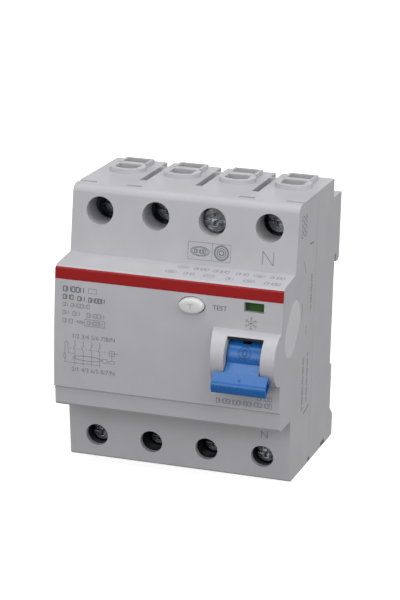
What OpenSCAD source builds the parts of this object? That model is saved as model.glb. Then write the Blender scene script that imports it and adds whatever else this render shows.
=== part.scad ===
// Four-pole residual current device for a 35 mm DIN rail.
// Frame: X across the width, +Y towards the rail, +Z up. The origin is the
// middle of the rail seat. Depths are measured forward from the seat, so a
// point at depth d lies at y = -d.

/* [Housing] */
// Width of one pole
pole_pitch = 17.5; // [17:0.5:18]
// Height of the housing
body_h = 85; // [84:0.5:88]
// Height of the nose that stands through a panel cut-out
nose_h = 45; // [44:0.5:45]
// Depth of the two shoulders in front of the rail seat
shoulder_d = 44.5; // [44:0.5:46]
// Depth of the nose in front of the rail seat
nose_d = 57.2; // [56.5:0.1:58]
// Thickness of the moulded walls
wall = 1.8; // [1.6:0.1:2]

/* [Rail fixing] */
// Height of the rail that the device clips on
rail_h = 35; // [35:0.5:35.5]
// How far the hooks reach behind the rail seat
hook_back = 5.5; // [5:0.5:6]

/* [Terminals] */
// Height of the terminal screw axes above or below the middle
screw_z = 35.2; // [34.5:0.1:35.5]
// Screwdriver hole radius, upper row
upper_hole_r = 4.25; // [4:0.05:4.3]
// Screwdriver hole radius, lower row
lower_hole_r = 3.5; // [3.4:0.05:3.8]
// Travel of a clamp pad between open and closed
clamp_travel = 8.8; // [8:0.2:8.8]

/* [Toggle] */
// Sideways place of the toggle
toggle_x = 25.3; // [25.1:0.1:25.4]
// Height of the toggle axle
toggle_z = 0; // [-0.2:0.1:0.2]
// Radius of the half-round bulge around the toggle
bulge_r = 7.9; // [7.8:0.1:8]
// Radius of the toggle drum
drum_r = 5.2; // [5.1:0.1:5.4]

/* [Test button] */
// Sideways place of the test button
button_x = 7.7; // [7:0.1:8.5]
// Height of the test button
button_z = 13.6; // [13:0.1:14]
// Width of the oval button
button_w = 7.6; // [7:0.1:8]
// Height of the oval button
button_h = 4.7; // [4.5:0.1:5]

/* [Hidden] */
$fn = 48;
poles = 4;
body_w = poles * pole_pitch;
half_w = body_w / 2;
half_h = body_h / 2;
nose_z = nose_h / 2;
split_d = 30;                     // joint between base and cover
low_split_d = 32.5;               // the same joint at the lower terminals
low_split_z = -25;
top_back_d = 4;                   // back edge of the block above the hook
low_back_d = -2;                  // back face under the rail recess
foot_z = -35.5;
rail_top = rail_h / 2 + 0.2;
rail_low = -rail_h / 2 - 0.5;
lip_gap = 2.1;                    // room for the rail flange behind the seat
lip_z = 15;                       // lowest point of the fixed lip
lip_top = 36.5;
stripe_low = 17;
stripe_high = 20.6;
panel_low = -16.2;                // lower edge of the proud label panel
panel_step = 1;
hair = 0.05;                      // play between fixed pieces
gap = 0.3;                        // play around moving pieces
over = 1;                         // how far a cutting tool runs past a face

// Terminals, all in the form [x, side]; side is 1 for the upper row, -1 for the lower one
function pole_x(pole) = (pole - (poles - 1) / 2) * pole_pitch;
terminals = [for (k = [0 : 2 * poles - 1]) [pole_x(k % poles), k < poles ? 1 : -1]];
cage_w = 10.6;
cage_h = 10.4;
cage_low_d = 6.6;
cage_high_d = 27.9;
cage_front = 2.2;
cage_wall = 1.4;
pad_t = 1.4;
strip_low_d = 13.6;
strip_high_d = 15.2;
closed_pad_d = strip_high_d + 0.2;
stand_open = [0, 0.8, 8.8, 1.8, 6.4, 3.6, 3.6, 6.8];   // how far each terminal stands open, at most clamp_travel
head_t = 2.6;
shank_r = 2.45;
thread_r = 2.5;
head_low_d = 28.4;
cable_d = [16, 22.3];
busbar_d = [8, 13.2];
entry_w = 7.2;
collar_h = 1.3;
chimney_t = 1.1;
chimney_low_d = 33.6;
pocket_w = cage_w + 0.6;
pocket_in_z = 29.2;

// Toggle
axle_d = 56.8;
pin_r = 1.25;
drum_w = 10.4;
slot_w = 11;
bar_w = 16.4;
room_r = drum_r + 0.35;           // room around the drum
bezel_low_x = 14.4;
bezel_lean = 10.9;                // taper of the left side of the bulge
shutter = 1.2;                      // the slot is closed above the drum up to this far in front of the axle
neck = [[2.5, 1.25], [7.95, -3.15], [6, -5.6], [0.6, -1.2]];          // lever outlines in the off position,
bar = [[7.95, -3], [10.15, -5.25], [10.5, -5.7], [10.72, -6.2], [10.76, -6.75], [10.64, -7.3], [10.2, -8.6], [9.95, -8.85], [9.6, -8.8], [5.3, -6.6]];      // measured from the axle
bar_middle = [8.56, -6.18];

// Inner works
carrier_stroke = 3;
button_proud = 2;
flag_x = 26.4;
flag_z = 14.8;
window_size = [5.9, 2.8];
toroid_x = -14;
toroid_z = -11;

// ---------- helpers ----------

// A box between two corners given as [x range], [depth range], [z range]
module block(x, d, z) {
    translate([x[0], -d[1], z[0]]) cube([x[1] - x[0], d[1] - d[0], z[1] - z[0]]);
}

// A cylinder along Y between two depths
module rod_y(x, z, d, r) {
    translate([x, -d[0], z]) rotate([90, 0, 0]) cylinder(h = d[1] - d[0], r = r);
}

// A cylinder along X
module rod_x(x, d, z, r) {
    translate([x[0], -d, z]) rotate([0, 90, 0]) cylinder(h = x[1] - x[0], r = r);
}

// A cylinder along Z
module rod_z(x, d, z, r) {
    translate([x, -d, z[0]]) cylinder(h = z[1] - z[0], r = r);
}

// A side outline, given as [depth, z] points, drawn across an x range
module across(x, points) {
    translate([x[0], 0, 0]) rotate([90, 0, 90]) linear_extrude(x[1] - x[0])
        polygon([for (p = points) [-p[0], p[1]]]);
}

// Points on an arc in the side view
function arc(d, z, r, from, to, steps = 6) =
    [for (k = [0 : steps]) let (a = from + (to - from) * k / steps) [d + r * cos(a), z + r * sin(a)]];

// ---------- side outlines ----------

crest_r = 2.6;
crown = 0.6;                      // swell of the label panel
lean_top = 1.6;                   // the upper shoulder leans back this much
lean_low = 2.6;                   // the lower shoulder leans back this much
nose_top = 22.2;                  // height of the nose where it leaves the shoulder
panel_bulge = [for (t = [0 : 0.25 : 1])
    [nose_d - 0.2 + crown * sin(180 * t) * 0.8, stripe_high - 0.4 + (panel_low - stripe_high + 0.4) * t]];

// The front of the cover from top to bottom, without the closing line at the back
front_line = concat(
    [[split_d, half_h]],
    arc(shoulder_d - lean_top - crest_r, half_h - crest_r, crest_r, 90, 8),
    [[shoulder_d, nose_top], [shoulder_d + 2, nose_top - 0.1]],
    [[nose_d - 1.2, stripe_high + 0.5]],
    panel_bulge,
    [[nose_d - 0.2 - panel_step, panel_low - 0.5]],
    [[nose_d - 1.6, -nose_z + 0.8], [nose_d - 2.4, -nose_z]],
    [[shoulder_d, -nose_z], [shoulder_d - lean_low, -half_h + 0.6], [shoulder_d - lean_low - 0.6, -half_h]],
    [[low_split_d, -half_h]]);

split_line = [[low_split_d, low_split_z - 1], [split_d, low_split_z + 1.5]];
cover_outline = concat(front_line, split_line);

// The same front drawn one wall thickness inside
inner_outline = [
    [split_d - over, half_h - wall], [shoulder_d - lean_top - wall - 1, half_h - wall],
    [shoulder_d - wall, nose_top - wall], [nose_d - wall - 1.2, stripe_high + 0.5 - wall],
    [nose_d - wall - 0.2, 10], [nose_d - wall - 0.2, panel_low + 2], [nose_d - wall - 1.6, panel_low],
    [nose_d - wall - 2.4, -nose_z + wall], [shoulder_d - wall, -nose_z + wall],
    [shoulder_d - wall, -nose_z - wall], [shoulder_d - lean_low - wall, -half_h + wall],
    [split_d - over, -half_h + wall]];

base_outline = [
    [split_d, half_h], [top_back_d, half_h], [top_back_d, lip_top],
    [-hook_back, lip_top], [-hook_back, lip_z + 0.8], [-hook_back + 0.8, lip_z], [-lip_gap, lip_z],
    [-lip_gap, rail_top], [0, rail_top], [0, rail_low], [low_back_d, rail_low],
    [low_back_d, foot_z + 3], [-hook_back, foot_z], [-hook_back, -half_h + 0.5],
    [-hook_back + 0.5, -half_h], [low_split_d, -half_h],
    [low_split_d, low_split_z - 1], [split_d, low_split_z + 1.5]];

// ---------- repeated shapes ----------

// A wire entry outline in plan, seen from above: round to the front, flat at the back
module entry_plan(d, grow) {
    w = entry_w + 2 * grow;
    front = d[1] + grow;
    back = d[0] - grow;
    intersection() {
        translate([-w / 2, -front]) square([w, front - back]);
        translate([0, -front + 5.6]) circle(r = 5.6);
    }
}

// The flat part of an entry for a busbar
module bar_plan(d, grow) {
    w = entry_w + 2 * grow;
    translate([-w / 2, -d[1] - grow]) square([w, d[1] - d[0] + 2 * grow]);
}

// Both entries of one pole, through the top or bottom wall
module wire_entries(x, side) {
    low = side > 0 ? half_h - wall - over : -half_h - over;
    translate([x, 0, low]) linear_extrude(wall + collar_h + 2 * over) {
        entry_plan(cable_d, 0);
        bar_plan(busbar_d, 0);
    }
}

// The raised collars around the entries on the top
module collars(x) {
    translate([x, 0, half_h - hair]) linear_extrude(collar_h + hair) {
        entry_plan(cable_d, 2.1);
        bar_plan(busbar_d, 0.9);
    }
}

// Hollow in the base that holds one cage
module terminal_pocket(x, side) {
    z = side > 0 ? [pocket_in_z, half_h - wall] : [-half_h + wall, -pocket_in_z];
    block([x - pocket_w / 2, x + pocket_w / 2], [cage_low_d - hair, low_split_d + over], z);
}

// A coil spring along Z: close turns on a thin sleeve
module coil(h, r, wire) {
    turns = floor(h / (2.4 * wire));
    rotate_extrude($fn = 32) {
        translate([r - wire * 0.3, 0]) square([wire * 0.6, h]);
        for (k = [0 : turns]) translate([r, wire / 2 + k * (h - wire) / turns]) circle(d = wire, $fn = 16);
    }
}

// A conductor along a list of [x, depth, z] points, with a bead at each bend
module wire_run(points, r) {
    for (k = [0 : len(points) - 2]) {
        a = [points[k][0], -points[k][1], points[k][2]];
        b = [points[k + 1][0], -points[k + 1][1], points[k + 1][2]];
        v = b - a;
        length = norm(v);
        translate(a) rotate([0, acos(v[2] / length), atan2(v[1], v[0])]) cylinder(h = length, r = r, $fn = 24);
        translate(a) sphere(r = r * 1.25, $fn = 24);
    }
}

// ---------- housing ----------

barrier_x = [-pole_pitch, 0, pole_pitch];
post_x = [-pole_pitch, pole_pitch];
post_z = 30.5;
post_r = 3;
screw_r = 1.5;
screw_head_r = 2.7;
room_z = 27.6;
room_back = 2.2;
clip_w = 18;
clip_wing = 1.5;
clip_d = [-4.7, 0.7];
clip_low_z = -41.6;
stop_z = [-38.5, -36.5];
stop_x = 2;
strip_w = 6.6;
slot_half = 1.1;

module rear_base() {
    color("gainsboro") difference() {
        union() {
            difference() {
                union() {
                    across([-half_w, half_w], base_outline);
                    for (x = [for (k = [0 : poles - 1]) pole_x(k)]) collars(x);
                }
                block([-half_w + wall, half_w - wall], [room_back, low_split_d + over], [-room_z, room_z]);
                for (t = terminals) terminal_pocket(t[0], t[1]);
                block([-clip_w / 2 - 0.15, clip_w / 2 + 0.15], [-hook_back - over, 1], [-half_h - over, rail_low + over]);
                block([-clip_w / 2 - clip_wing - 0.15, clip_w / 2 + clip_wing + 0.15], [-0.95, 1], [-half_h - over, rail_low + over]);
            }
            block([-stop_x, stop_x], [-3, 1.5], stop_z);
            for (x = barrier_x) block([x - 0.6, x + 0.6], [room_back - hair, 19], [-room_z - hair, room_z + hair]);
        }
        for (t = terminals) wire_entries(t[0], t[1]);
        for (x = barrier_x) barrier_slot(x);
        for (t = terminals) {
            z = t[1] > 0 ? [room_z - over, pocket_in_z + over] : [-pocket_in_z - over, -room_z + over];
            block([t[0] - strip_w / 2 - hair, t[0] + strip_w / 2 + hair], [strip_low_d - hair, strip_high_d + hair], z);
        }
        for (x = post_x, z = [-post_z, post_z]) {
            rod_y(x, z, [-over, low_split_d + over], screw_r + hair);
            rod_y(x, z, [-hook_back - over, 0], screw_head_r + hair);
        }
    }
}

// Narrow slot between two poles, crossed by one bridge
module barrier_slot(x) {
    block([x - slot_half, x + slot_half], [-hook_back, 9.9], [half_h - 5, half_h + over]);
    block([x - slot_half, x + slot_half], [10.9, split_d], [half_h - 5, half_h + over]);
}

module bezel_body() {
    side = 3 * bulge_r;
    difference() {
        rod_x([bezel_low_x, half_w], axle_d, toggle_z, bulge_r);
        translate([bezel_low_x, -nose_d, toggle_z]) rotate([0, 0, bezel_lean])
            translate([-side, -side / 2, -side / 2]) cube([side, side, side]);
    }
}

module front_cover() {
    low = toggle_x - slot_w / 2;
    high = toggle_x + slot_w / 2;
    color("whitesmoke") difference() {
        union() {
            difference() {
                across([-half_w, half_w], cover_outline);
                across([-half_w + wall, half_w - wall], inner_outline);
            }
            bezel_body();
            button_guide();
        }
        for (t = terminals)
            rod_y(t[0], t[1] * screw_z, [chimney_low_d - over, shoulder_d + over], hole_r(t[1]));
        // toggle slot, drum room and axle bore
        block([low, high], [axle_d + shutter, axle_d + 12], [toggle_z - 6.7, toggle_z + 6.7]);
        block([low, high], [axle_d - 3, axle_d + 12], [toggle_z - 6.7, toggle_z]);
        rod_x([low, high], axle_d, toggle_z, room_r);
        block([low, high], [axle_d - 12, axle_d - 1], [toggle_z - room_r + 0.2, toggle_z + room_r - 0.2]);
        rod_x([bezel_low_x + 1.2, half_w - 1.4], axle_d, toggle_z, pin_r + 0.03);
        rod_x([bezel_low_x + 1.4, low + hair], axle_d, toggle_z, 3.1);
        // stripe groove, button hole and indicator window
        block([-half_w - over, half_w + over], [nose_d - 0.95, nose_d + 3], [stripe_low, stripe_high]);
        button_plan(0.25, [nose_d - 8, nose_d + button_proud + over]);
        window_plan(hair, [nose_d - 5.6, nose_d + 3]);
        block([flag_x - 3.9, flag_x + 3.9], [nose_d - 5.6, nose_d - 2], [flag_z - 5.7, flag_z + 4.8]);
        // shallow seats for the aperture plugs
        for (s = [-1, 1]) plug_seat(s);
        // notches of the cover catches
        for (x = post_x) block([x - 2.4, x + 2.4], [37.1, 38.8], [half_h - 1.3, half_h + over]);
        for (s = [-1, 1]) block([s * 32.3 - 3, s * 32.3 + 3], [37, 38.6], [half_h - 1.3, half_h + over]);
    }
}

function hole_r(side) = side > 0 ? upper_hole_r : lower_hole_r;

// Insert behind the cover: a tube below each screwdriver hole and a post for each housing screw
module screw_guides() {
    color("whitesmoke") difference() {
        intersection() {
            union() {
                for (t = terminals) rod_y(t[0], t[1] * screw_z, [chimney_low_d, shoulder_d], hole_r(t[1]) + chimney_t);
                for (x = post_x) {
                    rod_y(x, post_z, [split_d, shoulder_d], post_r);
                    rod_y(x, -post_z, [low_split_d, shoulder_d], post_r);
                }
            }
            across([-half_w + wall, half_w - wall], inner_outline);
        }
        for (t = terminals) rod_y(t[0], t[1] * screw_z, [chimney_low_d - over, shoulder_d + over], hole_r(t[1]));
        for (x = post_x, z = [-post_z, post_z]) rod_y(x, z, [split_d - over, shoulder_d - 5], screw_r + hair);
    }
}

// The oval of the test button, grown by g, between two depths
module button_plan(g, d) {
    translate([button_x, -d[0], button_z]) rotate([90, 0, 0]) linear_extrude(d[1] - d[0])
        polygon([for (turn = [0 : 7.5 : 352.5]) [(button_w / 2 + g) * cos(turn), (button_h / 2 + g) * sin(turn)]]);
}

// The window of the indicator, grown by g
module window_plan(g, d) {
    block([flag_x - window_size[0] / 2 - g, flag_x + window_size[0] / 2 + g], d,
        [flag_z - window_size[1] / 2 - g, flag_z + window_size[1] / 2 + g]);
}

// Sleeve behind the face that guides the test button
module button_guide() {
    button_plan(1.2, [nose_d - 6.4, nose_d - wall]);
}

// A slanting oval on a side wall: half depth 0.5 into the wall
plug_low = [47.4, 4.2];
plug_high = [43.8, 8.4];
plug_r = 6.2;
plug_turn = atan2(plug_high[1] - plug_low[1], plug_high[0] - plug_low[0]);
module plug_shape(x, r) {
    across(x, concat(
        arc(plug_low[0], plug_low[1], r, plug_turn + 90, plug_turn + 270, 14),
        arc(plug_high[0], plug_high[1], r, plug_turn - 90, plug_turn + 90, 14)));
}

module plug_seat(s) {
    plug_shape(s > 0 ? [half_w - 0.6, half_w + over] : [-half_w - over, -half_w + 0.6], plug_r + hair);
}

module side_aperture_plugs() {
    color("whitesmoke") {
        plug_shape([half_w - 0.55, half_w], plug_r);
        plug_shape([-half_w, -half_w + 0.55], plug_r);
    }
}

module front_stripe() {
    color("firebrick") intersection() {
        across([-half_w, half_w], cover_outline);
        block([-half_w, half_w], [nose_d - 0.9, nose_d + 3], [stripe_low + hair, stripe_high - hair]);
    }
}

module housing_screws() {
    color("slategray") for (x = post_x, z = [-post_z, post_z]) {
        rod_y(x, z, [-2, shoulder_d - 6], screw_r);
        rod_y(x, z, [-2, -0.1], screw_head_r);
    }
}

// ---------- test circuit ----------

module test_button() {
    color("whitesmoke") {
        button_plan(0, [nose_d - 5, nose_d + button_proud]);
        rod_y(button_x, button_z, [nose_d - 11, nose_d - 4], 1.1);
    }
}

module test_button_spring() {
    color("silver") translate([button_x, -nose_d + 8.8, button_z]) rotate([90, 0, 0]) coil(3.5, 1.75, 0.4);
}

module test_contact() {
    color("goldenrod") {
        block([button_x - 1.5, button_x + 1.5], [43.4, 43.8], [button_z - 1.6, 19]);
        block([button_x - 1.5, button_x + 1.5], [40, 43.8], [18.6, 19]);
        block([button_x - 1.8, button_x + 1.8], [48.4, 48.8], [button_z + 2.4, 19.2]);
        block([button_x - 1.8, button_x + 1.8], [43.4, 48.8], [18.8, 19.2]);
    }
}

module test_resistor() {
    color("peru") {
        rod_x([-9, 0], 46, 16, 1.7);
        rod_x([-13, 4], 46, 16, 0.35);
    }
}

// ---------- indicator ----------

module indicator_flag() {
    color("forestgreen") {
        block([flag_x - 3.6, flag_x + 3.6], [nose_d - 3.2, nose_d - 2.3], [flag_z - 5.4, flag_z + 1.4]);
        block([flag_x - 1, flag_x + 1], [nose_d - 7.4, nose_d - 3.1], [flag_z - 5.4, flag_z - 4]);
    }
}

module indicator_window() {
    color("lightcyan", 0.4) window_plan(0, [nose_d - 1.9, nose_d - 0.7]);
}

// ---------- toggle and latch ----------

link_crank = [1.9, 2.9];          // crank pin, forward and up from the axle
link_r = 0.9;
link_length = 20;
link_w = 2;
latch_pivot = [34, 16];

module toggle() {
    color("steelblue") difference() {
        union() {
            rod_x([toggle_x - drum_w / 2, toggle_x + drum_w / 2], axle_d, toggle_z, drum_r);
            lever_part(drum_w, neck);
            lever_part(bar_w, bar);
        }
        rod_x([toggle_x - drum_w, toggle_x + drum_w], axle_d, toggle_z, pin_r + 0.04);
        rod_x([toggle_x - 3.05, toggle_x + 3.05], axle_d + link_crank[0], toggle_z + link_crank[1], link_r + 0.04);
        across([toggle_x - link_w / 2 - gap, toggle_x + link_w / 2 + gap], [for (p = link_room) p + [axle_d, toggle_z]]);
        for (s = [-1, 1]) lever_hollow(s);
    }
}

// Space in the drum that the link sweeps
link_room = [[3.2, 1.7], [-9, 1.7], [-9, 9], [0.8, 9], [3.2, 3.2]];

// An outline of the lever, drawn across width w
module lever_part(w, outline) {
    across([toggle_x - w / 2, toggle_x + w / 2], [for (p = outline) p + [axle_d, toggle_z]]);
}

// Pocket in one end of the crossbar
module lever_hollow(s) {
    x = s > 0 ? [toggle_x + bar_w / 2 - 2.4, toggle_x + bar_w / 2 + over] : [toggle_x - bar_w / 2 - over, toggle_x - bar_w / 2 + 2.4];
    across(x, [for (p = bar) bar_middle + 0.64 * (p - bar_middle) + [axle_d, toggle_z]]);
}

module toggle_pin() {
    color("silver") rod_x([bezel_low_x + 1.3, half_w - 1.5], axle_d, toggle_z, pin_r);
}

module toggle_spring() {
    color("silver") translate([bezel_low_x + 1.6, -axle_d, toggle_z]) rotate([0, 90, 0]) coil(2.4, 2.1, 0.6);
}

module toggle_link() {
    d = axle_d + link_crank[0];
    z = toggle_z + link_crank[1];
    color("silver") {
        rod_x([toggle_x - 3, toggle_x + 3], d, z, link_r);
        block([toggle_x - link_w / 2, toggle_x + link_w / 2], [d - link_length, d], [z - link_r, z + link_r]);
        rod_x([toggle_x - link_w / 2, toggle_x + link_w / 2], d - link_length, z, 1.3);
        rod_x([toggle_x - 3, toggle_x + 3], d - link_length, z, 0.8);
    }
}

// Forked lever that the link pushes; it hangs from the latch pin
module latch_lever() {
    d = axle_d + link_crank[0] - link_length;
    z = toggle_z + link_crank[1];
    color("dimgray") difference() {
        union() {
            for (s = [-1, 1]) {
                x = toggle_x + s * 2.3;
                rod_x([x - 0.5, x + 0.5], latch_pivot[0], latch_pivot[1], 2.6);
                across([x - 0.5, x + 0.5], [latch_pivot + [-2.2, 0], latch_pivot + [2.2, 0], [d + 2.2, z - 2.4], [d - 2.6, z - 2.4]]);
            }
            rod_x([toggle_x - 2.8, toggle_x + 2.8], latch_pivot[0], latch_pivot[1], 1.9);
        }
        rod_x([toggle_x - 4, toggle_x + 4], latch_pivot[0], latch_pivot[1], 1.04);
        // clearance of the opened pivot
        for (s = [-1, 1]) block([toggle_x + s * 2.3 - 1, toggle_x + s * 2.3 + 1], [d - 1.3, d + 1.3], [z - 1.6, z + 2.4]);
    }
}

module latch_pin() {
    color("silver") rod_x([toggle_x - 6.6, toggle_x + 6.6], latch_pivot[0], latch_pivot[1], 1);
}

frame_x = 5.2;
trip_pivot = [31.2, 12.6];
trip_bar = [39.5, 13.6];

module mechanism_frame() {
    color("lightsteelblue") difference() {
        union() {
            for (s = [-1, 1]) {
                x = toggle_x + s * frame_x;
                block([x - 0.6, x + 0.6], [29.6, 46.5], [-1, 19.8]);
            }
            block([toggle_x - frame_x, toggle_x + frame_x], [36, 44], [18.6, 19.8]);
        }
        rod_x([toggle_x - 8, toggle_x + 8], latch_pivot[0], latch_pivot[1], 1.0);
        rod_x([toggle_x - 8, toggle_x], trip_pivot[0], trip_pivot[1], 0.84);
        block([toggle_x - 8, toggle_x], [37.6, 41.4], [11.6, 17.4]);
    }
}

module trip_lever() {
    x = toggle_x - frame_x - 0.9;
    color("tan") {
        across([x - 1.6, x], [trip_pivot + [-1.2, -1.2], trip_pivot + [1, -1.4], trip_bar + [1, -1], trip_bar + [1, 1],
            trip_pivot + [-1.2, 1.2]]);
        block([5.4, x - 0.8], [trip_bar[0] - 1, trip_bar[0] + 1], [trip_bar[1] - 1, trip_bar[1] + 1]);
        block([x - 0.8, toggle_x - 3.4], [trip_bar[0] - 1, trip_bar[0] + 1], [trip_bar[1] - 1, trip_bar[1] + 1]);
        rod_x([x - 0.8, x + 1.6], trip_pivot[0], trip_pivot[1], 0.8);
    }
}

// ---------- contacts ----------

contact_d = 17.2;                 // front of the fixed contacts
bridge_d = contact_d + carrier_stroke + 0.1;
contact_z = [3.5, 12.5];
carrier_d = [24.6, 28.8];
carrier_z = [5.6, 10.4];

module contact_carrier() {
    color("saddlebrown") {
        block([-half_w + wall + gap, half_w - wall - gap], carrier_d, carrier_z);
        for (k = [0 : poles - 1]) block([pole_x(k) - 1, pole_x(k) + 1], [bridge_d + 1.9, carrier_d[0] + hair], [7, 9]);
    }
}

module moving_contacts() {
    color("goldenrod") for (k = [0 : poles - 1]) {
        block([pole_x(k) - 2.6, pole_x(k) + 2.6], [bridge_d + 0.9, bridge_d + 1.9], [1.4, 14.6]);
        for (z = contact_z) rod_y(pole_x(k), z, [bridge_d, bridge_d + 1], 1.8);
    }
}

module contact_springs() {
    color("silver") for (k = [0 : poles - 1], s = [-1, 1])
        translate([pole_x(k) + s * 1.85, -bridge_d - 1.95, 8]) rotate([90, 0, 0])
            coil(carrier_d[0] - bridge_d - 2, 0.6, 0.3);
}

module carrier_springs() {
    color("silver") for (x = [-20.5, 14.5])
        translate([x, -room_back - hair, 8]) rotate([90, 0, 0]) coil(carrier_d[0] - room_back - 2 * hair, 1.65, 0.6);
}

module line_contacts() {
    color("peru") for (k = [0 : poles - 1]) {
        block([pole_x(k) - strip_w / 2, pole_x(k) + strip_w / 2], [strip_low_d, strip_high_d], [9.4, 40]);
        rod_y(pole_x(k), contact_z[1], [strip_high_d - hair, contact_d], 2);
    }
}

module load_conductor(k) {
    x = pole_x(k);
    inner = [[-16, 34], [-12, 34], [-12, 38], [-16, 38]][k];
    high = [-5.7, -5.7, -5.7, -2.6][k];
    low = [-22, -22, -22, -25.2][k];
    color("peru") {
        block([x - strip_w / 2, x + strip_w / 2], [strip_low_d, strip_high_d], [-4, 6.2]);
        rod_y(x, contact_z[0], [strip_high_d - hair, contact_d], 2);
        block([x - strip_w / 2, x + strip_w / 2], [strip_low_d, strip_high_d], [-40, -21]);
        wire_run([[x, strip_high_d - 0.6, -2.5], [x, 22, -2.5 + (high + 2.5) / 2], [x, 28, high], [inner[0], inner[1], high],
            [inner[0], inner[1], low], [x, 28, low], [x, strip_high_d - 0.6, -24]], 1.2);
    }
}

// ---------- summation transformer and trip relay ----------

toroid_size = [5.4, 10.6];        // inner and outer radius with the winding

module toroid_core() {
    color("dimgray") translate([toroid_x, -36, toroid_z - 2.6])
        rotate_extrude() translate([toroid_size[0] + 1, 0]) square([toroid_size[1] - toroid_size[0] - 2, 5.2]);
}

module toroid_winding() {
    color("chocolate") translate([toroid_x, -36, toroid_z - 3.6]) difference() {
        rotate_extrude() translate([toroid_size[0], 0]) square([toroid_size[1] - toroid_size[0], 7.2]);
        translate([0, 0, 1 - hair]) rotate_extrude() translate([toroid_size[0] + 1 - hair, 0])
            square([toroid_size[1] - toroid_size[0] - 2 + 2 * hair, 5.2 + 2 * hair]);
    }
}

relay_z = [-1, 11];

module relay_yoke() {
    color("lightsteelblue") difference() {
        block([1, 13], [33.5, 45.5], relay_z);
        block([2.2, 11.8], [33, 46], [relay_z[0] + 1.2, relay_z[1] - 1.2]);
        rod_z(7, trip_bar[0], [relay_z[1] - 2, relay_z[1] + over], 1.06);
    }
}

module relay_coil() {
    color("chocolate") difference() {
        rod_z(7, trip_bar[0], [relay_z[0] + 1.25, relay_z[1] - 1.25], 4.4);
        rod_z(7, trip_bar[0], [relay_z[0] + 2.2, relay_z[1]], 1.06);
    }
}

module relay_plunger() {
    color("silver") rod_z(7, trip_bar[0], [relay_z[0] + 4, trip_bar[1] - 1.3], 1);
}

// ---------- rail clip ----------

module rail_clip() {
    color("gainsboro") difference() {
        union() {
            block([-clip_w / 2, clip_w / 2], clip_d, [clip_low_z, rail_low - gap]);
            block([-clip_w / 2 - clip_wing, clip_w / 2 + clip_wing], [-0.8, clip_d[1]], [clip_low_z, -22]);
            across([-clip_w / 2, clip_w / 2], [[-lip_gap, rail_low - 1], [clip_d[0], rail_low - 1], [clip_d[0], -15.8],
                [clip_d[0] + 0.8, -15], [-lip_gap - 0.6, -15], [-lip_gap, -15.6]]);
        }
        block([-stop_x - gap, stop_x + gap], [clip_d[0] - over, 2], [stop_z[0] - 0.5, -27]);
        block([-5, 5], [clip_d[0] - over, clip_d[0] + 1], [clip_low_z + 0.9, clip_low_z + 2.4]);
    }
}

module rail_clip_spring() {
    color("silver") translate([0, 1.3, stop_z[1] + hair]) coil(-27 - stop_z[1] - 2 * hair, 1.5, 0.5);
}

// ---------- terminals ----------

module at_terminal(k) {
    t = terminals[k];
    translate([t[0], 0, t[1] * screw_z]) children();
}

// How far a terminal's pad and screw stand out from closed
function opened(k) = min(clamp_travel, stand_open[k]);

module terminal_cage(k) {
    color("silver") at_terminal(k) difference() {
        block([-cage_w / 2, cage_w / 2], [cage_low_d, cage_high_d], [-cage_h / 2, cage_h / 2]);
        block([-cage_w / 2 + cage_wall, cage_w / 2 - cage_wall], [cage_low_d + cage_wall, cage_high_d - cage_front],
            [-cage_h, cage_h]);
        rod_y(0, 0, [cage_high_d - cage_front - over, cage_high_d + over], thread_r);
    }
}

module clamp_pad(k) {
    d = closed_pad_d + opened(k);
    color("silver") at_terminal(k) difference() {
        block([-3.5, 3.5], [d, d + pad_t], [-3.6, 3.6]);
        rod_y(0, 0, [d + 0.6, d + pad_t + over], 1.54);
    }
}

// Screw with a stub that turns in the pad
module terminal_screw(k) {
    d = closed_pad_d + opened(k);
    head_d = head_low_d + opened(k);
    head_r = hole_r(terminals[k][1]) - (terminals[k][1] > 0 ? 0.6 : 0.35);
    color("lightslategray") at_terminal(k) difference() {
        union() {
            rod_y(0, 0, [d + 0.65, d + pad_t + 0.1], 1.5);
            rod_y(0, 0, [d + pad_t + 0.05, head_d + hair], shank_r);
            rod_y(0, 0, [head_d, head_d + head_t], head_r);
        }
        block([-head_r, head_r], [head_d + head_t - 1.2, head_d + head_t + over], [-0.5, 0.5]);
        block([-0.7, 0.7], [head_d + head_t - 1.8, head_d + head_t + over], [-2, 2]);
        block([-2, 2], [head_d + head_t - 1.8, head_d + head_t + over], [-0.7, 0.7]);
    }
}

// ---------- drawing ----------

rear_base();
front_cover();
screw_guides();
front_stripe();
side_aperture_plugs();
housing_screws();
test_button();
test_button_spring();
test_contact();
test_resistor();
indicator_flag();
indicator_window();
toggle();
toggle_pin();
toggle_spring();
toggle_link();
latch_lever();
latch_pin();
trip_lever();
mechanism_frame();
contact_carrier();
carrier_springs();
moving_contacts();
contact_springs();
line_contacts();
for (k = [0 : poles - 1]) load_conductor(k);
toroid_core();
toroid_winding();
relay_yoke();
relay_coil();
relay_plunger();
rail_clip();
rail_clip_spring();
for (k = [0 : 2 * poles - 1]) terminal_cage(k);
for (k = [0 : 2 * poles - 1]) clamp_pad(k);
for (k = [0 : 2 * poles - 1]) terminal_screw(k);
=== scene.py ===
import math

import bmesh
import bpy
from mathutils import Matrix, Vector
from mathutils.bvhtree import BVHTree


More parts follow.
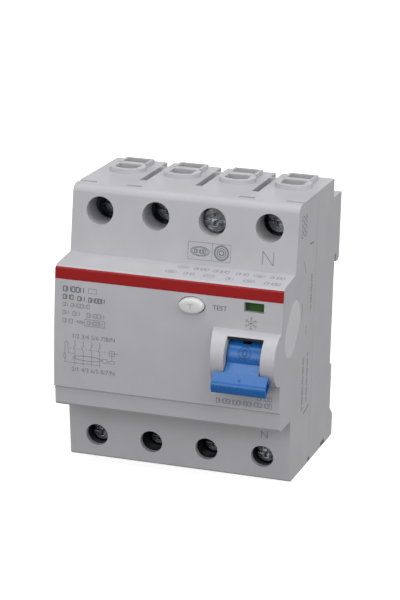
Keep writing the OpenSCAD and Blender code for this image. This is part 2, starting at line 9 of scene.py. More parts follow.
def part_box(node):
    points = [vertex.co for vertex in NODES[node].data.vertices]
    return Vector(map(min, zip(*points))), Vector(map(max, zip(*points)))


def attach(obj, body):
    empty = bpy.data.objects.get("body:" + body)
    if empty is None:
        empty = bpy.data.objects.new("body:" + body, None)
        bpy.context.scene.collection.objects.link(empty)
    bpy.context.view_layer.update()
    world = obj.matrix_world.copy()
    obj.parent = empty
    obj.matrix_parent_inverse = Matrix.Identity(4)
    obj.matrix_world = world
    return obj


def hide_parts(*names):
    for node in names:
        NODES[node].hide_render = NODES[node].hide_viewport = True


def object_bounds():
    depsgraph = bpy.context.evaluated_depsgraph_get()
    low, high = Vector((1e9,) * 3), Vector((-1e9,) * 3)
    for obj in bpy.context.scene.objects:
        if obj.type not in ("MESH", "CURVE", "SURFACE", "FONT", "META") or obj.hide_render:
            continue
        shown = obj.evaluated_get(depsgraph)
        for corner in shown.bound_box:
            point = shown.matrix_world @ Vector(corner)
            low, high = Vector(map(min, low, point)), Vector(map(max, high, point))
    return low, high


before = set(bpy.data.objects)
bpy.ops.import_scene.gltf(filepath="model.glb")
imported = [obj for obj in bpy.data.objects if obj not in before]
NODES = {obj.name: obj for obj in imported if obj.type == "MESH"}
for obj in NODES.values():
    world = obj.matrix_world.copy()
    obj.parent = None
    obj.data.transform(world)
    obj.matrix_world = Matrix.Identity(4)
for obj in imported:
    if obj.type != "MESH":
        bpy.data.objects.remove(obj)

cad_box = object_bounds()
MM = 0.001
TOGGLE_X = 25.3      # middle of the toggle, in millimetres across


def P(x, d, z):
    """A point in the row frame from millimetres: x across, d forward from the rail seat, z up."""
    return Vector((x, -d, z)) * MM


# ---------------------------------------------------------------- materials

def new_material(name):
    m = bpy.data.materials.new(name)
    m.use_nodes = True
    tree = m.node_tree
    shader = tree.nodes["Principled BSDF"]
    coords = tree.nodes.new("ShaderNodeTexCoord")
    return m, tree, shader, coords.outputs["Object"]


def noise(tree, coords, scale, detail=2.0, rough=0.5):
    """Smooth noise; higher scales make finer grain."""
    n = tree.nodes.new("ShaderNodeTexNoise")
    n.inputs["Scale"].default_value = scale
    n.inputs["Detail"].default_value = detail
    n.inputs["Roughness"].default_value = rough
    tree.links.new(coords, n.inputs["Vector"])
    return n.outputs["Fac"]


def ramp(tree, value, stops):
    """A colour ramp: stops are (position, rgb)."""
    r = tree.nodes.new("ShaderNodeValToRGB")
    while len(r.color_ramp.elements) < len(stops):
        r.color_ramp.elements.new(0.5)
    for e, (at, rgb) in zip(r.color_ramp.elements, stops):
        e.position = at
        e.color = (*rgb, 1)
    tree.links.new(value, r.inputs["Fac"])
    return r.outputs["Color"]


def remap(tree, value, low, high):
    """Spreads the middle half of a noise over low to high."""
    r = tree.nodes.new("ShaderNodeMapRange")
    r.inputs["From Min"].default_value = 0.25
    r.inputs["From Max"].default_value = 0.75
    r.inputs["To Min"].default_value = low
    r.inputs["To Max"].default_value = high
    tree.links.new(value, r.inputs["Value"])
    return r.outputs["Result"]


def bump(tree, shader, height, strength, distance):
    b = tree.nodes.new("ShaderNodeBump")
    b.inputs["Strength"].default_value = strength
    b.inputs["Distance"].default_value = distance
    tree.links.new(height, b.inputs["Height"])
    tree.links.new(b.outputs["Normal"], shader.inputs["Normal"])


def tint(rgb, k):
    return tuple(min(1.0, c * k) for c in rgb)


def plastic(name, rgb, rough=0.42, grain=2600, depth=0.4, spread=0.035, specular=0.4):
    """Moulded thermoplastic: a fine spark-eroded grain with faint cloudiness."""
    m, tree, shader, coords = new_material(name)
    cloud = noise(tree, coords, 90, 4.0, 0.6)
    stops = [(0.3, tint(rgb, 1 - spread)), (0.7, tint(rgb, 1 + spread))]
    tree.links.new(ramp(tree, cloud, stops), shader.inputs["Base Color"])
    fine = noise(tree, coords, grain, 2.0, 0.6)
    tree.links.new(remap(tree, fine, rough - 0.06, rough + 0.06), shader.inputs["Roughness"])
    shader.inputs["Specular IOR Level"].default_value = specular
    bump(tree, shader, fine, depth, 0.00002)
    return m


def metal(name, rgb, rough=0.35, spread=0.25, grain=900, depth=0.3):
    """Plated or bare metal with cloudy tarnish and a fine rolled grain; with a wide spread, as on the screws,
    the cloud is painted reflection as well as tarnish.
    """
    m, tree, shader, coords = new_material(name)
    cloud = noise(tree, coords, 420, 5.0, 0.65)
    stops = [(0.25, tint(rgb, 1 - spread)), (0.75, tint(rgb, 1 + spread * 0.5))]
    tree.links.new(ramp(tree, cloud, stops), shader.inputs["Base Color"])
    shader.inputs["Metallic"].default_value = 1.0
    fine = noise(tree, coords, grain, 3.0, 0.6)
    tree.links.new(remap(tree, fine, rough - 0.08, rough + 0.12), shader.inputs["Roughness"])
    bump(tree, shader, fine, depth, 0.00003)
    return m


HOUSING = plastic("housing_plastic", (0.525, 0.520, 0.550), rough=0.46)
WHITE = plastic("button_plastic", (0.74, 0.74, 0.745), rough=0.38)
RED = plastic("stripe_red", (0.340, 0.006, 0.008), rough=0.45, specular=0.3)
BLUE = plastic("toggle_blue", (0.005, 0.128, 0.430), rough=0.29, spread=0.05, grain=1900, depth=0.08,
               specular=0.6)
MECH = plastic("mechanism_plastic", (0.42, 0.40, 0.34), rough=0.5)
CARRIER = plastic("carrier_plastic", (0.10, 0.045, 0.025), rough=0.5)
CLIP = plastic("clip_plastic", (0.42, 0.42, 0.44), rough=0.45)
RESISTOR = plastic("resistor_body", (0.42, 0.30, 0.16), rough=0.4)
BRASS = metal("contact_brass", (0.72, 0.50, 0.20))
COPPER = metal("copper", (0.74, 0.34, 0.20))
CORE = metal("core_metal", (0.30, 0.30, 0.32), rough=0.45)
ZINC = metal("zinc_steel", (0.40, 0.41, 0.42), rough=0.35)
# painted reflection: the near-full spread paints dark and bright patches into the screw heads' base colour
SCREW = metal("screw_steel", (0.42, 0.45, 0.48), rough=0.20, spread=0.95, grain=620, depth=1.0)
PLUG = plastic("plug_plastic", (0.66, 0.66, 0.68), rough=0.45)
# painted shade: on the zero and its ring this dark blue stands in for the shade in their engraved grooves
DEEP_BLUE = plastic("toggle_mark_blue", (0.010, 0.080, 0.260), rough=0.4, spread=0.08)


def object_axes(m):
    """The X, Y and Z of the object coordinates, in metres."""
    tree = m.node_tree
    coords = next(n for n in tree.nodes if n.bl_idname == "ShaderNodeTexCoord").outputs["Object"]
    split = tree.nodes.new("ShaderNodeSeparateXYZ")
    tree.links.new(coords, split.inputs["Vector"])
    return split.outputs


def compute(tree, operation, value, number):
    n = tree.nodes.new("ShaderNodeMath")
    n.operation = operation
    n.inputs[1].default_value = number
    tree.links.new(value, n.inputs[0])
    return n


def blend_base(m, share, rgb):
    """Blends rgb over the base colour by share, from 0 to 1."""
    tree = m.node_tree
    base = tree.nodes["Principled BSDF"].inputs["Base Color"]
    blend = tree.nodes.new("ShaderNodeMix")
    blend.data_type = "RGBA"
    tree.links.new(share, blend.inputs[0])
    tree.links.new(base.links[0].from_socket, blend.inputs[6])
    blend.inputs[7].default_value = (*rgb, 1)
    tree.links.new(blend.outputs[2], base)


def guide_plastic():
    """Housing plastic with painted shade down the screwdriver holes: it turns near-black with depth, deeper in
    the upper row than in the lower.
    """
    shade_from, shade_full = -0.0430, -0.0420     # depths in the lower row
    upper_row_deeper = 0.0078
    m = plastic("guide_plastic", (0.50, 0.50, 0.52), rough=0.5)
    tree = m.node_tree
    axes = object_axes(m)
    upper = compute(tree, "GREATER_THAN", axes["Z"], 0.0)
    level = compute(tree, "MULTIPLY_ADD", upper.outputs["Value"], -upper_row_deeper)
    tree.links.new(axes["Y"], level.inputs[2])
    painted_hole_shade = tree.nodes.new("ShaderNodeMapRange")
    painted_hole_shade.inputs["From Min"].default_value = shade_from
    painted_hole_shade.inputs["From Max"].default_value = shade_full
    tree.links.new(level.outputs["Value"], painted_hole_shade.inputs["Value"])
    # painted shade: near-black blended into the hole walls by depth
    blend_base(m, painted_hole_shade.outputs["Result"], (0.012, 0.012, 0.013))
    return m


GUIDE = guide_plastic()


def flag_plastic():
    """Green above and red below, split at the level that the window shows when the contacts are closed."""
    green_height = 0.00292
    m = plastic("flag_plastic", (0.030, 0.125, 0.012), rough=0.5, spread=0.1, specular=0.2)
    split_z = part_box("indicator_flag")[1][2] - green_height
    below = compute(m.node_tree, "LESS_THAN", object_axes(m)["Z"], split_z)
    blend_base(m, below.outputs["Value"], (0.40, 0.012, 0.010))
    return m


GREEN = flag_plastic()


def window_clear():
    """Thin clear window with faint moulding haze."""
    m, tree, shader, coords = new_material("window_clear")
    fine = noise(tree, coords, 700, 2.0)
    tree.links.new(remap(tree, fine, 0.05, 0.14), shader.inputs["Roughness"])
    tree.links.new(ramp(tree, fine, [(0.3, (0.14, 0.18, 0.14)), (0.7, (0.18, 0.22, 0.18))]),
                   shader.inputs["Base Color"])
    shader.inputs["Alpha"].default_value = 0.04
    return m


CLEAR = window_clear()


def ink(name, rgb):
    """Pad-printed ink, a little uneven; the same recipe also makes the painted shade colours below."""
    m, tree, shader, coords = new_material(name)
    worn = noise(tree, coords, 1800, 3.0, 0.7)
    stops = [(0.3, tint(rgb, 0.85)), (0.75, tint(rgb, 1.25))]
    tree.links.new(ramp(tree, worn, stops), shader.inputs["Base Color"])
    tree.links.new(remap(tree, worn, 0.45, 0.65), shader.inputs["Roughness"])
    return m


GREY_INK = ink("grey_ink", (0.14, 0.15, 0.175))
PALE_INK = ink("pale_ink", (0.21, 0.22, 0.25))
# painted shade, not ink: seam_shadow darkens the side slits and notches, gap_shade is the near-black bar in the
# drum's window
SHADOW = ink("seam_shadow", (0.12, 0.12, 0.13))
SHADE = ink("gap_shade", (0.010, 0.011, 0.014))

PAINTED = (   # material, and the nodes or numbered families of nodes that wear it
    (HOUSING, ("rear_base", "front_cover")),
    (GUIDE, ("screw_guides",)),
    (PLUG, ("side_aperture_plugs",)),
    (RED, ("front_stripe",)),
    (WHITE, ("test_button",)),
    (GREEN, ("indicator_flag",)),
    (CLEAR, ("indicator_window",)),
    (BLUE, ("toggle",)),
    (BRASS, ("test_contact", "moving_contacts")),
    (RESISTOR, ("test_resistor",)),
    (MECH, ("mechanism_frame", "trip_lever", "latch_lever")),
    (CARRIER, ("contact_carrier",)),
    (COPPER, ("line_contacts", "load_conductor", "toroid_winding", "relay_coil")),
    (CORE, ("toroid_core", "relay_yoke", "relay_plunger")),
    (CLIP, ("rail_clip",)),
    (ZINC, ("terminal_cage", "clamp_pad", "toggle_pin", "toggle_spring", "toggle_link", "latch_pin",
            "carrier_springs", "contact_springs", "test_button_spring", "rail_clip_spring")),
    (SCREW, ("terminal_screw", "housing_screws")),
)

BEVELS = {"rear_base": 0.16, "front_cover": 0.18, "toggle": 0.22, "test_button": 0.3, "rail_clip": 0.2,
          "contact_carrier": 0.2, "front_stripe": 0.05, "side_aperture_plugs": 0.06,
          "terminal_screw": 0.12, "terminal_cage": 0.2, "clamp_pad": 0.12}      # millimetres
SMALL_BEVEL = 0.06
KEEP_TRIANGLES = {"rail_clip"}   # its slotted faces don't merge into clean flat faces


def family(name):
    """The name of a node without its number."""
    return name.rstrip("0123456789").rstrip("_")


def paint(obj, material):
    obj.data.materials.clear()
    obj.data.materials.append(material)
    for face in obj.data.polygons:
        face.material_index = 0


def finish_cad(name, width):
    """Softens the moulded edges of a CAD node; its own mesh stays as it is."""
    obj = NODES[name]
    obj.data.shade_smooth()
    weld = obj.modifiers.new("weld", "WELD")
    weld.merge_threshold = 0.000002
    if name not in KEEP_TRIANGLES:
        flat = obj.modifiers.new("flat", "DECIMATE")
        flat.decimate_type = "DISSOLVE"
        flat.angle_limit = math.radians(0.6)
    add_edges(obj, width)


def add_edges(obj, width):
    """A small round on every real edge, with shading that keeps flat faces flat."""
    edge = obj.modifiers.new("edge", "BEVEL")
    edge.width = width
    edge.segments = 2
    edge.limit_method = "ANGLE"
    edge.angle_limit = math.radians(28)
    edge.use_clamp_overlap = True
    shade = obj.modifiers.new("shade", "WEIGHTED_NORMAL")
    shade.mode = "FACE_AREA_WITH_ANGLE"
    shade.weight = 60


for material, families in PAINTED:
    for name in NODES:
        if family(name) in families:
            paint(NODES[name], material)

for name in NODES:
    finish_cad(name, BEVELS.get(family(name), SMALL_BEVEL) * MM)


# ---------------------------------------------------------------- pieces made here

def new_object(name, bm, material):
    mesh = bpy.data.meshes.new(name)
    bmesh.ops.recalc_face_normals(bm, faces=bm.faces)
    bm.to_mesh(mesh)
    bm.free()
    mesh.materials.append(material)
    obj = bpy.data.objects.new(name, mesh)
    bpy.context.scene.collection.objects.link(obj)
    return obj


def hit_tree(*names):
    """The meshes of some nodes, ready for rays."""
    verts, faces = [], []
    for name in names:
        start = len(verts)
        verts += [v.co.copy() for v in NODES[name].data.vertices]
        faces += [[start + i for i in f.vertices] for f in NODES[name].data.polygons]
    return BVHTree.FromPolygons(verts, faces)


# Rays that find the surface under a drawn point: u across or forward, v forward or up, in millimetres.
SHELL = hit_tree("front_cover", "front_stripe", "rear_base", "side_aperture_plugs")
LEVER = hit_tree("toggle")


def from_front(u, v):
    return P(u, 90, v), Vector((0, 1, 0))


def from_above(u, v):
    return P(u, v, 60), Vector((0, 0, -1))


def from_right(u, v):
    return P(60, u, v), Vector((-1, 0, 0))


SUNK = 0.06    # how far the back of a print lies below the surface, in millimetres


def laid_on(name, bm, place, tree, material, body="housing", proud=0.03):
    """Lays flat shapes, drawn in millimetres, on a surface as a thin solid print, or a patch of painted shade,
    that stands just proud.
    """
    low = list(bm.verts)
    grown = bmesh.ops.extrude_face_region(bm, geom=list(bm.faces))["geom"]
    high = [g for g in grown if isinstance(g, bmesh.types.BMVert)]
    for verts, offset in ((low, -SUNK), (high, proud)):
        for v in verts:
            origin, along = place(v.co.x, v.co.y)
            at, normal, _, _ = tree.ray_cast(origin, along)
            if at is None:
                raise ValueError(name + " misses the surface")
            v.co = at - along * offset * MM
    obj = new_object(name, bm, material)
    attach(obj, body)
    return obj


def patch(bm, points):
    """One flat face through drawn points."""
    bm.faces.new([bm.verts.new((u, v, 0)) for u, v in points])


PIECE = 2.5    # longest length of line laid in one go, in millimetres


def line(bm, points, width, closed=False):
    """A line of even width, cut into short lengths so that it follows a curved surface."""
    ends = list(zip(points, points[1:] + points[:1])) if closed else list(zip(points, points[1:]))
    for a, b in ends:
        a, b = Vector(a), Vector(b)
        along = b - a
        side = Vector((-along.y, along.x)).normalized() * width / 2
        count = max(1, math.ceil(along.length / PIECE))
        for k in range(count):
            p, q = a + along * k / count, a + along * (k + 1) / count
            patch(bm, [p - side, q - side, q + side, p + side])


def bar(bm, u, v, height):
    """A plain bar in place of a printed word, from u[0] to u[1] and centred on v."""
    line(bm, [(u[0], v), (u[1], v)], height)


def greek(bm, u, v, height, width, pitch=1.05):
    """Placeholder print: a row of plain boxes and stroke pairs between u[0] and u[1] that spells nothing."""
    count = max(1, round((u[1] - u[0]) / pitch))
    step = (u[1] - u[0]) / count
    for k in range(count):
        left, right = u[0] + (k + 0.12) * step, u[0] + (k + 0.82) * step
        low, high = v - height / 2, v + height / 2
        if k % 3 == 1:
            line(bm, [(left, low), (left, high)], width)
            line(bm, [(right, low), (right, high)], width)
        else:
            line(bm, [(left, low), (right, low), (right, high), (left, high)], width, closed=True)


def upright(bm, u, v, height, width):
    """The same placeholder print running upwards from v[0] to v[1]."""
    turned = bmesh.new()
    greek(turned, v, 0, height, width)
    for face in turned.faces:
        patch(bm, [(u - corner.co.y, corner.co.x) for corner in face.verts])
    turned.free()


def ring(bm, at, radius, width, squash=1.0, steps=24):
    """A closed oval line; squash is its height over its width."""
    turns = [2 * math.pi * k / steps for k in range(steps)]
    points = [(at[0] + radius * math.cos(t), at[1] + radius * squash * math.sin(t)) for t in turns]
    line(bm, points, width, closed=True)


def letters(bm, text, size, at):
    """Generic words and numbers in Blender's own font, as flat faces that start at a point."""
    curve = bpy.data.curves.new("letters", "FONT")
    curve.body = text
    curve.size = size
    curve.resolution_u = 3
    obj = bpy.data.objects.new("letters", curve)
    bpy.context.scene.collection.objects.link(obj)
    mesh = obj.to_mesh()
    verts = [bm.verts.new((at[0] + v.co.x, at[1] + v.co.y, 0)) for v in mesh.vertices]
    for face in mesh.polygons:
        bm.faces.new([verts[i] for i in face.vertices])
    obj.to_mesh_clear()
    bpy.data.objects.remove(obj)
    bpy.data.curves.remove(curve)


def print_front(name, bm, material=GREY_INK):
    return laid_on(name, bm, from_front, SHELL, material)


def front_prints():
    bm = bmesh.new()
    letters(bm, "TEST", 2.05, (13.9, 12.9))
    centre = Vector((25.7, 10.1))
    for k in range(6):
        arm = Vector((math.cos(math.radians(60 * k + 30)), math.sin(math.radians(60 * k + 30))))
        across = Vector((-arm.y, arm.x))
        line(bm, [centre + arm * 0.8, centre + arm * 2.0], 0.11)
        for s in (-1, 1):
            line(bm, [centre + arm * 1.3, centre + arm * 1.8 + across * 0.5 * s], 0.09)
    ring(bm, centre, 0.75, 0.09)
    line(bm, [centre + Vector((-0.35, 0)), centre + Vector((0.35, 0))], 0.4)
    print_front("print_test", bm)

    # rating lines, the upper two heavier
    bm = bmesh.new()
    greek(bm, (-32.4, -25.7), 14.2, 1.5, 0.3, 1.25)
    greek(bm, (-32.4, -28.9), 11.8, 1.35, 0.26)
    greek(bm, (-27.8, -25.4), 11.6, 1.3, 0.26)
    greek(bm, (-24.4, -19.2), 11.5, 1.35, 0.26)
    print_front("print_rating_bold", bm)
    bm = bmesh.new()
    line(bm, [(-24.4, 13.5), (-21.8, 13.5), (-21.8, 14.9), (-24.4, 14.9)], 0.12, closed=True)
    greek(bm, (-32.4, -30.6), 9.5, 1.2, 0.15)
    greek(bm, (-29.9, -23.8), 9.4, 1.2, 0.15)
    greek(bm, (-32.4, -30.4), 7.0, 1.2, 0.15)
    greek(bm, (-29.3, -26.9), 6.9, 1.2, 0.15)
    greek(bm, (-24.8, -19.2), 6.8, 1.3, 0.16)
    greek(bm, (-32.4, -29.0), 4.5, 1.25, 0.15)
    line(bm, [(-28.2, 4.5), (-25.4, 4.5)], 0.14)
    line(bm, [(-27.6, 4.15), (-26.0, 4.15), (-26.0, 4.85), (-27.6, 4.85)], 0.12, closed=True)
    line(bm, [(-25.3, 3.5), (-19.1, 3.5), (-19.1, 5.5), (-25.3, 5.5)], 0.14, closed=True)
    greek(bm, (-24.7, -19.7), 4.5, 1.1, 0.16)
    print_front("print_rating_thin", bm, PALE_INK)

    # wiring diagram
    bm = bmesh.new()
    letters(bm, "1/2 3/4 5/6 7/8/N", 1.95, (-29.4, -0.6))
    letters(bm, "2/1 4/3 6/5 8/7/N", 1.95, (-29.4, -10.9))
    print_front("print_terminal_numbers", bm, PALE_INK)
    bm = bmesh.new()
    for x in (-28.3, -25.7, -23.0, -20.5):
        line(bm, [(x, -1.2), (x, -3.0)], 0.13)
        line(bm, [(x - 0.5, -3.2), (x, -4.6)], 0.13)
        line(bm, [(x, -4.6), (x, -8.9)], 0.13)
        line(bm, [(x - 0.3, -3.0), (x + 0.3, -3.0)], 0.12)
    for k in range(11):
        line(bm, [(-30.0 + k * 1.2, -3.9), (-29.4 + k * 1.2, -3.9)], 0.12)
    ring(bm, (-24.4, -6.6), 4.5, 0.18, squash=0.16, steps=32)
    line(bm, [(-19.6, -7.3), (-18.2, -7.3), (-18.2, -6.1), (-19.6, -6.1)], 0.13, closed=True)
    line(bm, [(-18.2, -6.9), (-17.6, -6.9)], 0.13)
    line(bm, [(-17.6, -7.3), (-15.8, -7.3), (-15.8, -6.5), (-17.6, -6.5)], 0.13, closed=True)
    line(bm, [(-16.7, -6.5), (-16.7, -5.0)], 0.12)
    line(bm, [(-17.5, -4.9), (-15.9, -4.9), (-15.9, -3.3), (-17.5, -3.3)], 0.13, closed=True)
    line(bm, [(-17.5, -4.1), (-15.9, -4.1)], 0.12)
    line(bm, [(-16.7, -4.9), (-16.7, -3.3)], 0.12)
    line(bm, [(-15.9, -4.1), (-14.8, -4.1)], 0.12)
    line(bm, [(-30.6, -2.0), (-31.5, -2.0), (-31.5, -5.6)], 0.13)
    line(bm, [(-30.6, -2.0), (-30.4, -5.4), (-28.3, -5.4)], 0.13)
    line(bm, [(-31.8, -7.1), (-31.2, -7.1), (-31.2, -5.6), (-31.8, -5.6)], 0.13, closed=True)
    line(bm, [(-31.5, -7.1), (-31.5, -8.3), (-20.5, -8.3)], 0.13)
    print_front("print_wiring", bm, PALE_INK)

    bm = bmesh.new()
    greek(bm, (15.7, 32.8), -14.4, 1.4, 0.16)
    greek(bm, (28.2, 32.8), -12.3, 1.3, 0.16)
    print_front("print_codes", bm, PALE_INK)

    # shoulder marks
    bm = bmesh.new()
    for x, z, k in ((24.7, 24.3, 1.0), (26.1, -29.0, 0.55)):
        line(bm, [(x, z), (x, z + 4.0 * k), (x + 3.3 * k, z), (x + 3.3 * k, z + 4.0 * k)], 0.22)
    line(bm, [(1.8, 23.8), (14.9, 23.8), (14.9, 29.0), (1.8, 29.0)], 0.12, closed=True)
    line(bm, [(9.2, 23.8), (9.2, 29.0)], 0.12)
    ring(bm, (5.5, 26.3), 2.9, 0.22, squash=0.48)
    ring(bm, (5.5, 26.3), 2.5, 0.16, squash=0.44)
    greek(bm, (3.7, 7.3), 26.3, 1.1, 0.28, 0.9)
    for radius, width in ((0.7, 0.45), (1.35, 0.3), (2.1, 0.55)):
        ring(bm, (12.1, 26.4), radius, width)
    print_front("print_shoulder", bm, PALE_INK)

    # marks on the top of the nose
    bm = bmesh.new()
    for u, d in (((5.0, 9.6), 47.9), ((11.0, 16.0), 48.1), ((18.0, 22.0), 48.3), ((28.4, 32.9), 48.4),
                 ((3.2, 6.6), 52.3), ((16.2, 18.6), 52.7), ((28.0, 33.0), 53.1)):
        greek(bm, u, d, 1.7, 0.17, 1.2)
    for u, d in ((1.7, 47.7), (25.2, 48.4), (-0.8, 52.1), (11.1, 52.4), (23.4, 52.9)):
        ring(bm, (u, d), 1.7, 0.18, squash=0.55)
        bar(bm, (u - 0.8, u + 0.8), d, 0.35)
    laid_on("print_nose_top", bm, from_above, SHELL, PALE_INK)


def side_marks():
    # painted shade: dark lines for the shadow in the slots, catches and two notches in the bottom edge
    bm = bmesh.new()
    line(bm, [(36.0, 11.5), (36.0, 6.8)], 0.35)
    line(bm, [(25.2, 27.8), (29.6, 28.1)], 0.35)
    line(bm, [(24.4, -23.4), (29.7, -24.6)], 0.4)
    line(bm, [(30.7, 0.4), (30.7, 3.4)], 0.25)
    line(bm, [(35.9, 24.5), (32.8, 19.8)], 0.15)
    for low, high in ((3.4, 8.0), (21.0, 23.0)):
        line(bm, [(low, -41.6), (high, -41.6)], 1.2)
    laid_on("side_slit_shade", bm, from_right, SHELL, SHADOW, proud=0.012)

    # the seam between base and cover
    bm = bmesh.new()
    line(bm, [(22.0, 41.0), (22.0, -36.0)], 0.09)
    laid_on("side_seam", bm, from_right, SHELL, PALE_INK, proud=0.01)

    # upright placeholder print and a patch of plain dots
    bm = bmesh.new()
    for d, low, high, height in ((32.3, -23.0, -6.0, 1.4), (27.6, -21.3, -5.8, 1.2), (26.3, 7.4, 18.3, 1.2)):
        upright(bm, d, (low, high), height, 0.17)
    for k in range(8):
        for j in range(9):
            if (k * 5 + j * 3) % 7 < 4:
                line(bm, [(33.8 + k * 0.75, 32.2 + j * 0.75), (34.3 + k * 0.75, 32.2 + j * 0.75)], 0.45)
    laid_on("print_side", bm, from_right, SHELL, PALE_INK)


def dome(name, centre, semi, levels, material, steps=64):
    """A closed form of stacked ellipses; levels are (scale, depth) from back to front."""
    bm = bmesh.new()
    rings = []
    for scale, d in levels:
        rings.append([bm.verts.new(P(centre[0] + semi[0] * scale * math.cos(2 * math.pi * k / steps), d,
                                     centre[1] + semi[1] * scale * math.sin(2 * math.pi * k / steps)))
                      for k in range(steps)])
    for a, b in zip(rings, rings[1:]):
        for k in range(steps):
            bm.faces.new([a[k], a[(k + 1) % steps], b[(k + 1) % steps], b[k]])
    bm.faces.new(rings[0])
    bm.faces.new(rings[-1])
    obj = new_object(name, bm, material)
    obj.data.shade_smooth()
    shade = obj.modifiers.new("shade", "WEIGHTED_NORMAL")
    shade.weight = 60
    return obj


def button():
    """A domed oval cap on a thin stem, the size of the plain CAD button, with its raised letter."""
    low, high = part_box("test_button")
    centre = ((low[0] + high[0]) / 2 / MM, (low[2] + high[2]) / 2 / MM)
    semi = ((high[0] - low[0]) / 2 / MM, (high[2] - low[2]) / 2 / MM)
    back, front = -high[1] / MM, -low[1] / MM
    stem = 0.29    # share of the cap's width
    levels = [(stem, back), (stem, front - 6.3), (0.9, front - 6.2), (1.0, front - 6.0), (1.0, front - 1.1),
              (0.985, front - 0.75), (0.95, front - 0.48), (0.88, front - 0.28), (0.76, front - 0.13),
              (0.58, front - 0.05), (0.3, front)]
    cap = dome("button_cap", centre, semi, levels, WHITE)
    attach(cap, "test_button")
    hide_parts("test_button")
    bm = bmesh.new()
    line(bm, [(centre[0] - 0.75, centre[1] + 0.7), (centre[0] + 0.75, centre[1] + 0.7)], 0.3)
    line(bm, [(centre[0], centre[1] + 0.55), (centre[0], centre[1] - 0.9)], 0.3)
    verts = [v.co for v in cap.data.vertices]
    shell = BVHTree.FromPolygons(verts, [list(f.vertices) for f in cap.data.polygons])
    laid_on("button_letter", bm, from_front, shell, HOUSING, body="test_button", proud=0.06)


def lever_marks():
    """The ringed zero on the drum and the dot on the crossbar, in dark blue; on the zero and its ring the dark
    blue is painted shade for their engraved grooves.
    """
    bm = bmesh.new()
    ring(bm, (TOGGLE_X, 2.3), 1.8, 0.16, squash=0.85, steps=32)
    ring(bm, (TOGGLE_X, 2.3), 0.62, 0.34, squash=1.5)
    laid_on("toggle_mark", bm, from_front, LEVER, DEEP_BLUE, body="toggle", proud=0.14)
    bm = bmesh.new()
    turns = [math.pi * k / 6 for k in range(12)]
    patch(bm, [(TOGGLE_X + 0.4 * math.cos(t), -4.6 + 0.3 * math.sin(t)) for t in turns])
    laid_on("toggle_dot", bm, from_front, LEVER, DEEP_BLUE, body="toggle", proud=0.05)


def box_mesh(name, low, high, material):
    """A plain box between two corners."""
    bm = bmesh.new()
    bmesh.ops.create_cube(bm, size=1)
    for v in bm.verts:
        v.co = Vector([(low[i] + high[i]) / 2 + v.co[i] * (high[i] - low[i]) for i in range(3)])
    return new_object(name, bm, material)


def drum_gap_shade():
    """A near-black bar of painted shade across the top of the drum's window, for the shadow in the gap between
    the drum and the window's top edge.
    """
    half_w = 5.55
    obj = box_mesh("drum_gap_shade", P(TOGGLE_X - half_w, 60.7, 5.8), P(TOGGLE_X + half_w, 60.4, 6.76), SHADE)
    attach(obj, "housing")


front_prints()
side_marks()
button()
lever_marks()
drum_gap_shade()


# ---------------------------------------------------------------- stage, light, camera

floor_z = cad_box[0][2]
m, tree, shader, coords = new_material("floor_paper")
stops = [(0.3, (0.90, 0.90, 0.90)), (0.7, (0.93, 0.93, 0.93))]
tree.links.new(ramp(tree, noise(tree, coords, 6, 3.0), stops), shader.inputs["Base Color"])
shader.inputs["Roughness"].default_value = 0.9
shader.inputs["Specular IOR Level"].default_value = 0.1
shader.inputs["Emission Color"].default_value = (1, 1, 1, 1)
shader.inputs["Emission Strength"].default_value = 0.55
floor = box_mesh("studio_floor", (-4, -4, floor_z - 0.01), (4, 4, floor_z), m)
floor.visible_diffuse = False
floor.visible_glossy = False

scene = bpy.context.scene
scene.view_settings.view_transform = "Standard"

# The world lights the object dimly, and the camera sees it as plain white.
WORLD_POWER = 0.28
world = bpy.data.worlds.new("studio")
world.use_nodes = True
sky = world.node_tree
dim = sky.nodes["Background"]
dim.inputs["Color"].default_value = (1, 1, 1, 1)
dim.inputs["Strength"].default_value = WORLD_POWER
seen = sky.nodes.new("ShaderNodeBackground")
seen.inputs["Color"].default_value = (1, 1, 1, 1)
seen.inputs["Strength"].default_value = 1.0
path = sky.nodes.new("ShaderNodeLightPath")
mix = sky.nodes.new("ShaderNodeMixShader")
sky.links.new(path.outputs["Is Camera Ray"], mix.inputs["Fac"])
sky.links.new(dim.outputs["Background"], mix.inputs[1])
sky.links.new(seen.outputs["Background"], mix.inputs[2])
sky.links.new(mix.outputs["Shader"], sky.nodes["World Output"].inputs["Surface"])
scene.world = world


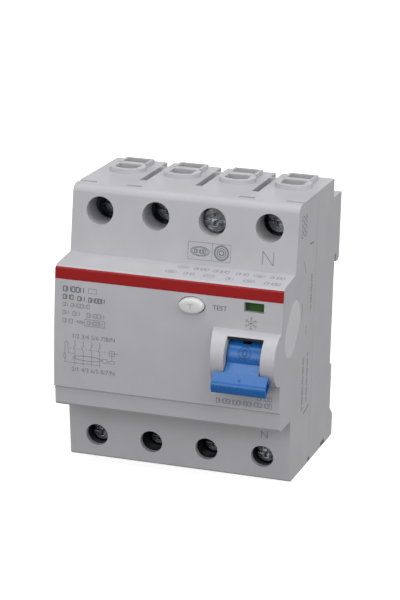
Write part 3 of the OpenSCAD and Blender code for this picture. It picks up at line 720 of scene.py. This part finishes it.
def area_light(name, at, towards, size, power):
    data = bpy.data.lights.new(name, "AREA")
    data.shape = "RECTANGLE"
    data.size, data.size_y = size
    data.energy = power
    obj = bpy.data.objects.new(name, data)
    scene.collection.objects.link(obj)
    obj.location = at
    obj.rotation_euler = (Vector(towards) - Vector(at)).to_track_quat("-Z", "Y").to_euler()


LIGHTS = {   # name: place, aim, size, power in watts
    "top": ((0.0, -0.15, 0.9), (0, -0.03, 0), (0.8, 0.8), 4.4),
    "front": ((-0.3, -1.3, 0.5), (0, 0, 0), (1.2, 0.8), 5.9),
    "near": ((0.30, -0.42, 0.30), (0.02, -0.05, 0), (0.2, 0.2), 0.38),
    "right": ((1.2, -0.1, 0.35), (0, 0, 0), (0.9, 0.9), 5.2),
    "back": ((0.1, 0.9, 0.8), (0, 0, 0), (0.9, 0.6), 0.5),
    "low back": ((-0.5, 1.3, 0.05), (0, 0, 0), (1.0, 0.35), 4.5),
    "left": ((-1.3, 0.05, 0.2), (0, 0, 0), (0.9, 0.5), 2.4),
}
for name, (at, aim, size, power) in LIGHTS.items():
    area_light(name, at, aim, size, power)

# Camera: azimuth, elevation and roll about the view line; it looks at TARGET from DISTANCE metres.
AZ, EL, ROLL = math.radians(17.53), math.radians(15.93), math.radians(1.57)
DISTANCE = 0.7409
TARGET = Vector((0.73, -27.76, 6.56)) * MM
back = Vector((math.sin(AZ) * math.cos(EL), -math.cos(AZ) * math.cos(EL), math.sin(EL)))
right = Vector((0, 0, 1)).cross(back).normalized()
up = back.cross(right)
turned_right = right * math.cos(ROLL) + up * math.sin(ROLL)
turned_up = up * math.cos(ROLL) - right * math.sin(ROLL)
camera_data = bpy.data.cameras.new("camera")
camera_data.lens = 146.9
camera_data.sensor_width = 36
camera_data.clip_end = 20
camera = bpy.data.objects.new("camera", camera_data)
scene.collection.objects.link(camera)
pose = Matrix((turned_right, turned_up, back)).transposed().to_4x4()
pose.translation = TARGET + back * DISTANCE
camera.matrix_world = pose
scene.camera = camera
